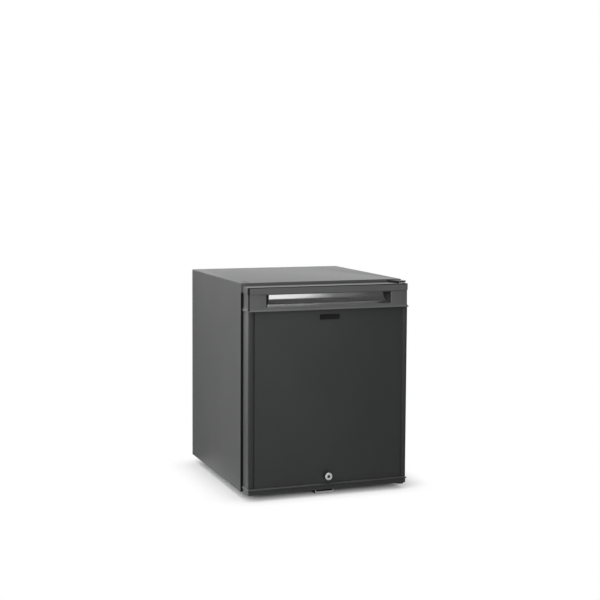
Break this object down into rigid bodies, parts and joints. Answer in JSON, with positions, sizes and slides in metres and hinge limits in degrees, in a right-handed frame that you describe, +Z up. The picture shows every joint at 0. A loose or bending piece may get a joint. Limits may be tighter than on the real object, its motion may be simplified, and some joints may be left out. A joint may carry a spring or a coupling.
{
  "type": "minibar fridge",
  "caption": "Small free-standing absorption fridge with a hinged locking door, recessed grip, inner shelves, door racks and an open rear cooling unit.",
  "frame": {"origin": "centre of the bounding box at floor level, under the feet", "axes": "+X to the right seen from the front, -Y out of the door, +Z up"},
  "size_m": [0.402, 0.47, 0.5],
  "materials": {
    "cabinet_paint": "satin grey paint on steel sheet",
    "door_plastic": "dark grey moulded plastic, fine grain",
    "door_sheet": "dark grey coated sheet",
    "gloss_black": "polished black",
    "black_steel": "black coated steel",
    "chrome": "bright plated",
    "steel": "zinc plated",
    "white_plastic": "smooth off-white",
    "foam": "hard insulating foam",
    "rubber": "soft black",
    "aluminium": "cast, satin",
    "galvanised": "galvanised sheet",
    "clear_plastic": "clear to milky",
    "unit_black": "black painted tube"
  },
  "bodies": {
    "cabinet": {"outer_shell": "cabinet_paint", "bottom_pan": "galvanised", "rear_rail": "galvanised", "back_panel": "galvanised", "cabinet_foam": "foam", "inner_liner": "white_plastic", "top_hinge_bracket": "black_steel", "top_hinge_pin": "steel", "bottom_hinge_bracket": "black_steel", "bottom_hinge_pin": "steel", "top_hinge_screw_1": "steel", "top_hinge_screw_2": "steel", "bottom_hinge_screw_1": "steel", "bottom_hinge_screw_2": "steel", "lock_catch": "black_steel", "catch_screw_left": "steel", "catch_screw_right": "steel", "foot_front_left": "rubber", "foot_front_right": "rubber", "foot_rear_left": "rubber", "foot_rear_right": "rubber", "shelf_lower": "white_plastic", "shelf_upper": "white_plastic", "evaporator": "aluminium", "drip_tray": "white_plastic", "control_box": "white_plastic", "lamp_cover": "clear_plastic", "boiler_jacket": "galvanised", "boiler_tube": "unit_black", "heater_cartridge": "steel", "condenser": "unit_black", "evaporator_pipe": "unit_black", "gas_heat_exchanger": "unit_black", "absorber_coil": "unit_black", "absorber_tank": "unit_black", "liquid_heat_exchanger": "unit_black", "drain_tube": "white_plastic", "terminal_box": "door_plastic", "mains_inlet": "door_plastic"},
    "door": {"door_top_cap": "door_plastic", "grip_insert": "gloss_black", "door_profile_left": "door_plastic", "door_profile_right": "door_plastic", "door_bottom_cap": "door_plastic", "door_panel": "door_sheet", "door_foam": "foam", "door_liner": "white_plastic", "door_gasket": "rubber", "door_rack_lower": "clear_plastic", "door_rack_upper": "clear_plastic", "blank_plate": "gloss_black", "lock_case": "galvanised", "lock_body": "chrome", "top_hinge_bush": "white_plastic", "bottom_hinge_bush": "white_plastic"},
    "lock_barrel": {"lock_core": "chrome", "lock_cam": "steel"},
    "bolt": {"lock_bolt": "steel"},
    "dial": {"thermostat_knob": "door_plastic"}
  },
  "joints": [
    {"name": "door_hinge", "type": "hinge", "parent": "cabinet", "child": "door", "pos_m": [0.189, -0.208, 0.0155], "axis": [0, 0, 1], "range_deg": [0, 120]},
    {"name": "lock_turn", "type": "hinge", "parent": "door", "child": "lock_barrel", "pos_m": [-0.004, -0.2342, 0.0485], "axis": [0, 1, 0], "range_deg": [0, 90]},
    {"name": "bolt_slide", "type": "slide", "parent": "door", "child": "bolt", "axis": [0, 0, -1], "range_m": [0, 0.011]},
    {"name": "dial_turn", "type": "hinge", "parent": "cabinet", "child": "dial", "pos_m": [0.134, -0.053, 0.4477], "axis": [0, 1, 0], "range_deg": [-135, 135]}
  ],
  "couplings": [
    {"joint": "lock_turn", "follows": "bolt_slide", "rad_per_m": 142.79}
  ]
}
